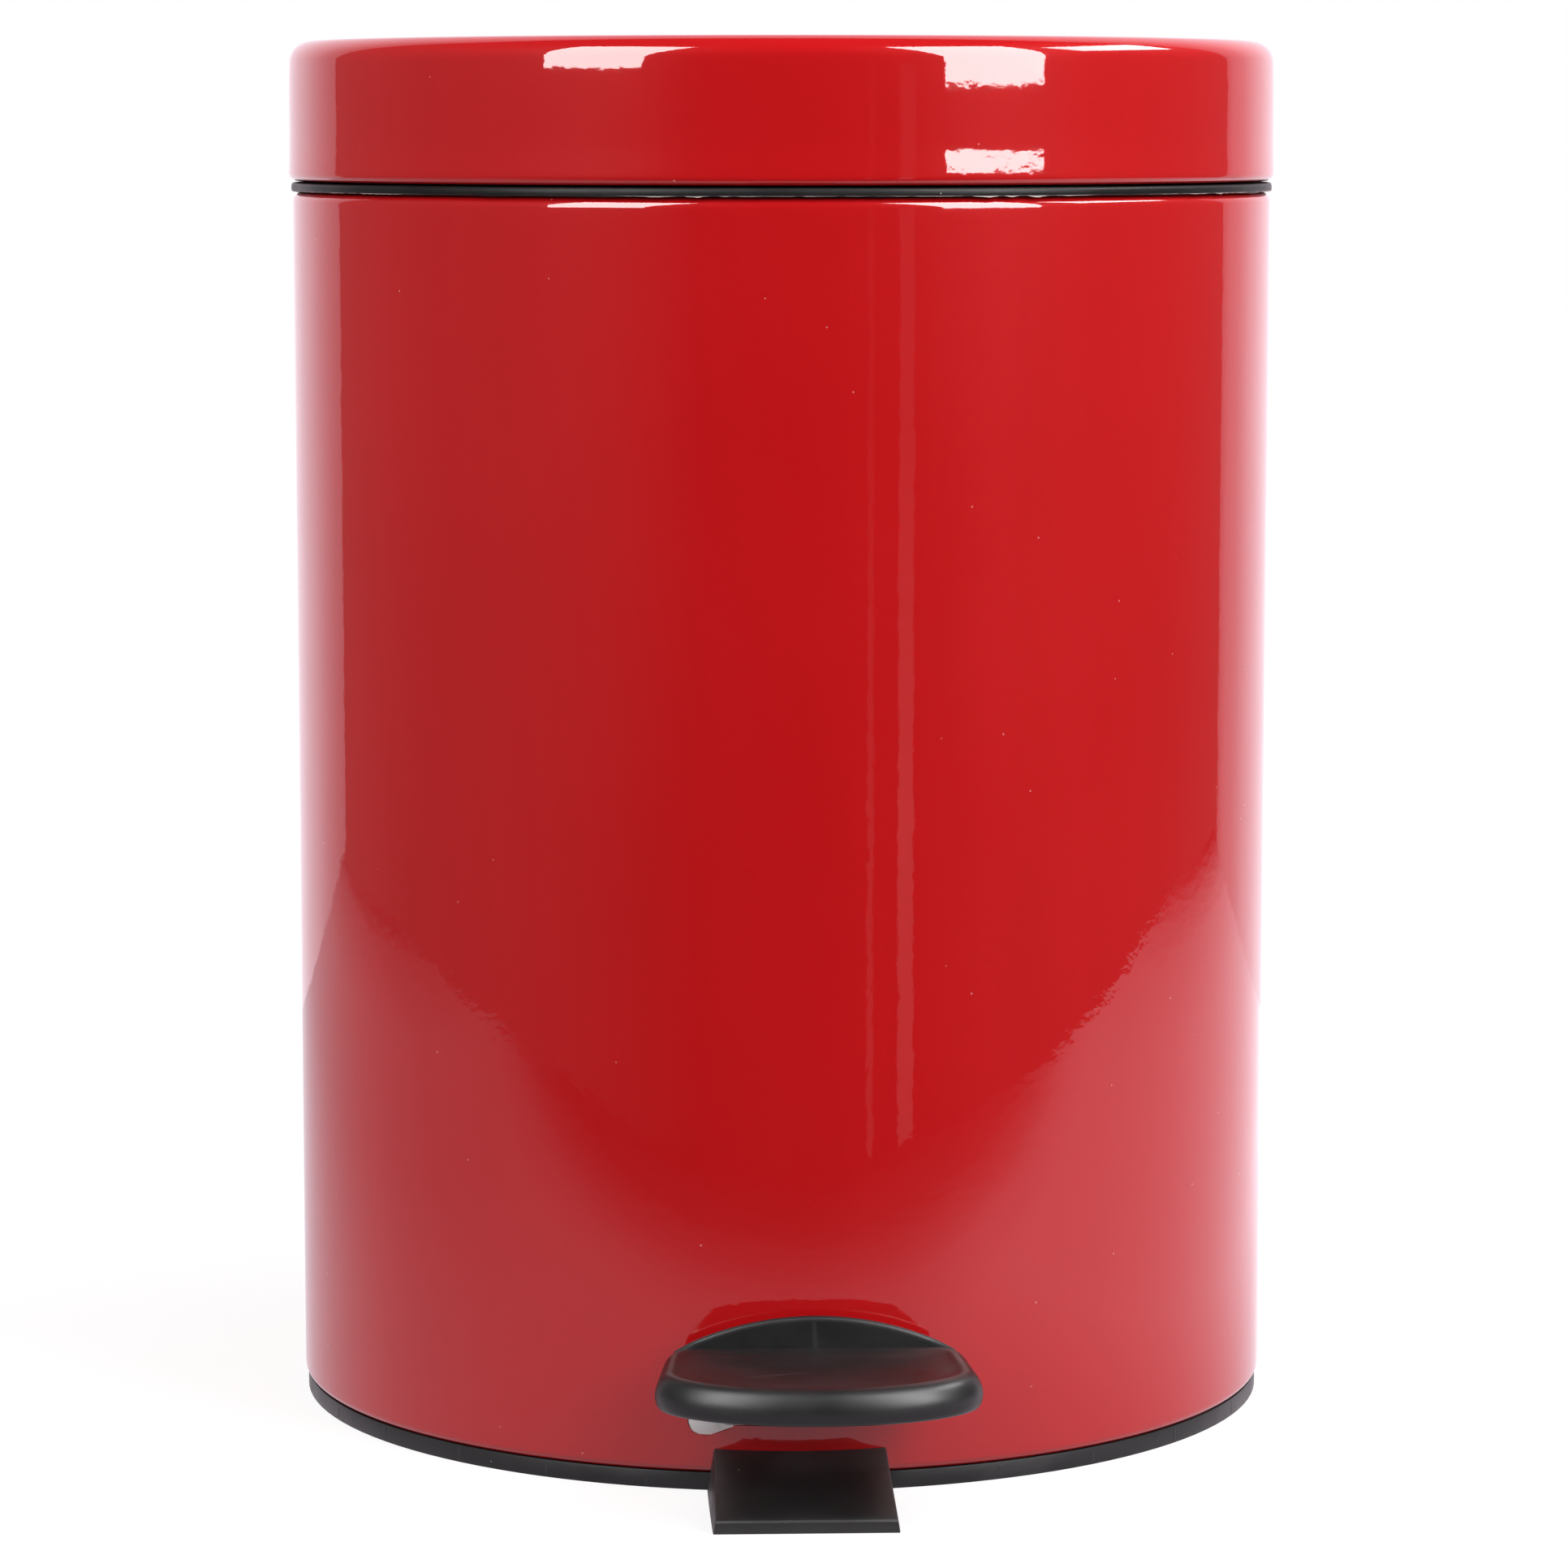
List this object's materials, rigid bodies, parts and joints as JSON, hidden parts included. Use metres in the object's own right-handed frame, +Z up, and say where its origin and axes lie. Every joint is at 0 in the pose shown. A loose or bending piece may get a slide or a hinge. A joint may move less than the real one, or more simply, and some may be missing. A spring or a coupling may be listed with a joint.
{
  "type": "pedal bin",
  "caption": "Round step-on waste can with a hinged lid raised by a foot pedal, a lift-out inner bucket with a bail, a moulded base and an anti-tip foot.",
  "frame": {"origin": "on the can's vertical axis, at floor level", "axes": "+Z up, the pedal points to -Y, the lid hinge is at +Y, +X is the right-hand side seen from the front"},
  "size_m": [0.205, 0.2583, 0.2842],
  "materials": {
    "red_enamel": "high gloss stove enamel",
    "black_plastic": "satin moulded",
    "black_foot": "fine moulded grain",
    "pedal_plastic": "satin moulded with a fine grain",
    "bucket_plastic": "satin moulded",
    "white_nylon": "natural nylon",
    "zinc_plated": "bright zinc plate",
    "spring_steel": "dark spring steel",
    "black_rubber": "matt rubber"
  },
  "bodies": {
    "can": {"body_shell": "red_enamel", "top_collar": "black_plastic", "slot_guide": "white_nylon", "hinge_housing": "black_plastic", "hinge_pin": "zinc_plated", "hinge_screws": "zinc_plated", "rod_guide": "black_plastic", "guide_rivet": "zinc_plated", "base_plate": "black_plastic", "front_foot": "black_foot", "foot_screw": "zinc_plated", "rubber_feet": "black_rubber", "pivot_bracket": "zinc_plated", "bracket_screws": "zinc_plated", "pivot_pin": "zinc_plated", "pivot_clips": "spring_steel", "bucket": "bucket_plastic"},
    "lid": {"lid_shell": "red_enamel", "lid_liner": "black_plastic", "lid_hinge_arm": "black_plastic", "lid_screws": "zinc_plated", "lid_bumpers": "black_rubber"},
    "rod": {"push_rod": "zinc_plated", "rod_clips": "spring_steel"},
    "pedal": {"pedal_lever": "zinc_plated", "lever_bush": "white_nylon", "pedal_pad": "pedal_plastic", "pedal_screws": "zinc_plated"},
    "bail": {"bucket_handle": "zinc_plated", "handle_grip": "black_plastic"}
  },
  "joints": [
    {"name": "lid_open", "type": "hinge", "parent": "can", "child": "lid", "pos_m": [0, 0.11, 0.257], "axis": [-1, 0, 0], "range_deg": [0, 78]},
    {"name": "rod_swing", "type": "hinge", "parent": "lid", "child": "rod", "pos_m": [0, 0.09912, 0.24819], "axis": [1, 0, 0], "range_deg": [0, 78]},
    {"name": "pedal_press", "type": "hinge", "parent": "can", "child": "pedal", "pos_m": [0, -0.028, 0.022], "axis": [1, 0, 0], "range_deg": [0, 8.33]},
    {"name": "bail_swing", "type": "hinge", "parent": "can", "child": "bail", "pos_m": [0, 0, 0.2526], "axis": [-1, 0, 0], "range_deg": [0, 14]}
  ],
  "couplings": [
    {"joint": "rod_swing", "follows": "lid_open", "ratio": 1},
    {"joint": "pedal_press", "follows": "lid_open", "ratio": 0.1067}
  ]
}
